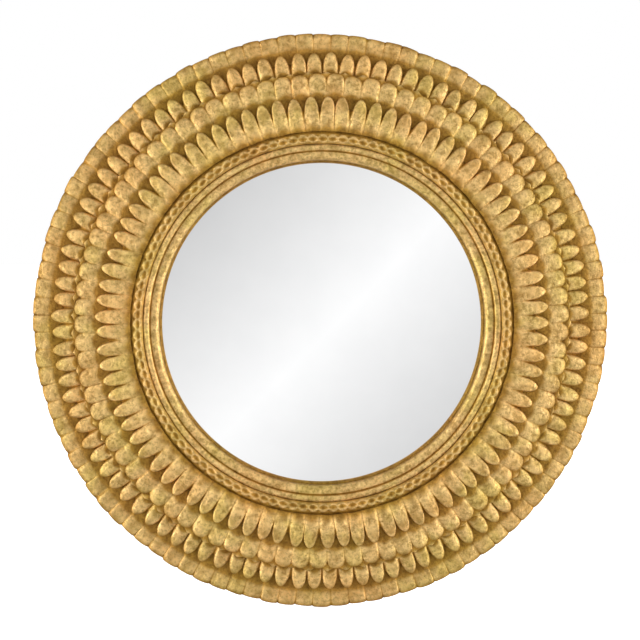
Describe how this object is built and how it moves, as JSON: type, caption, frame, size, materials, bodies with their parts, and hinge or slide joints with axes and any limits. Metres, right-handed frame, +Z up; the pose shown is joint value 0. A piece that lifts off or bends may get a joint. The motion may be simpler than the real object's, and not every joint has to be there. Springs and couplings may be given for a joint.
{
  "type": "convex wall mirror",
  "caption": "Round convex mirror in a carved gilt frame: stacked rows of petals, a guilloche and a beaded sight edge, with a wooden back, turn buttons and swinging hanger rings.",
  "frame": {"origin": "centre of the mirror in the wall plane, on which the backs of the wall pads lie", "axes": "+Z up the wall, +X to the right as seen from the room, the mirror faces -Y and +Y points into the wall"},
  "size_m": [0.762, 0.0666, 0.762],
  "materials": {
    "gilded_wood": "antique gold leaf on carved wood, toned dark in the recesses",
    "carcase_wood": "stained bare wood",
    "backing_board": "matt hardboard",
    "mirror_glass": "clear silvered glass",
    "brass": "satin, lightly tarnished",
    "steel": "zinc plated",
    "rubber": "matt"
  },
  "bodies": {
    "frame": {"back_ring_segment_1": "carcase_wood", "back_ring_segment_2": "carcase_wood", "back_ring_segment_3": "carcase_wood", "back_ring_segment_4": "carcase_wood", "back_ring_segment_5": "carcase_wood", "back_ring_segment_6": "carcase_wood", "back_ring_segment_7": "carcase_wood", "back_ring_segment_8": "carcase_wood", "petal_row_outer": "gilded_wood", "petal_row_second": "gilded_wood", "petal_row_third": "gilded_wood", "petal_row_inner": "gilded_wood", "guilloche_moulding": "gilded_wood", "sight_moulding": "gilded_wood", "convex_mirror_glass": "mirror_glass", "packing_ring": "carcase_wood", "backing_board": "backing_board", "button_screw_1": "brass", "button_screw_2": "brass", "button_screw_3": "brass", "button_screw_4": "brass", "button_screw_5": "brass", "button_screw_6": "brass", "hanger_strap_left": "steel", "hanger_strap_right": "steel", "hanger_screw_left_upper": "steel", "hanger_screw_left_lower": "steel", "hanger_screw_right_upper": "steel", "hanger_screw_right_lower": "steel", "wall_pad_1": "rubber", "wall_pad_2": "rubber", "wall_pad_3": "rubber", "wall_pad_4": "rubber"},
    "button_1": {"turn_button_1": "brass"},
    "button_2": {"turn_button_2": "brass"},
    "button_3": {"turn_button_3": "brass"},
    "button_4": {"turn_button_4": "brass"},
    "button_5": {"turn_button_5": "brass"},
    "button_6": {"turn_button_6": "brass"},
    "ring_left": {"hanger_ring_left": "steel"},
    "ring_right": {"hanger_ring_right": "steel"}
  },
  "joints": [
    {"name": "button_1_turn", "type": "hinge", "parent": "frame", "child": "button_1", "pos_m": [0.20611, -0.0066, 0.119], "axis": [0, 1, 0], "continuous": true},
    {"name": "button_2_turn", "type": "hinge", "parent": "frame", "child": "button_2", "pos_m": [0, -0.0066, 0.238], "axis": [0, 1, 0], "continuous": true},
    {"name": "button_3_turn", "type": "hinge", "parent": "frame", "child": "button_3", "pos_m": [-0.20611, -0.0066, 0.119], "axis": [0, 1, 0], "continuous": true},
    {"name": "button_4_turn", "type": "hinge", "parent": "frame", "child": "button_4", "pos_m": [-0.20611, -0.0066, -0.119], "axis": [0, 1, 0], "continuous": true},
    {"name": "button_5_turn", "type": "hinge", "parent": "frame", "child": "button_5", "pos_m": [0, -0.0066, -0.238], "axis": [0, 1, 0], "continuous": true},
    {"name": "button_6_turn", "type": "hinge", "parent": "frame", "child": "button_6", "pos_m": [0.20611, -0.0066, -0.119], "axis": [0, 1, 0], "continuous": true},
    {"name": "ring_left_swing", "type": "hinge", "parent": "frame", "child": "ring_left", "pos_m": [-0.25, -0.0046, 0.15], "axis": [-1, 0, 0], "range_deg": [0, 180]},
    {"name": "ring_right_swing", "type": "hinge", "parent": "frame", "child": "ring_right", "pos_m": [0.25, -0.0046, 0.15], "axis": [-1, 0, 0], "range_deg": [0, 180]}
  ]
}
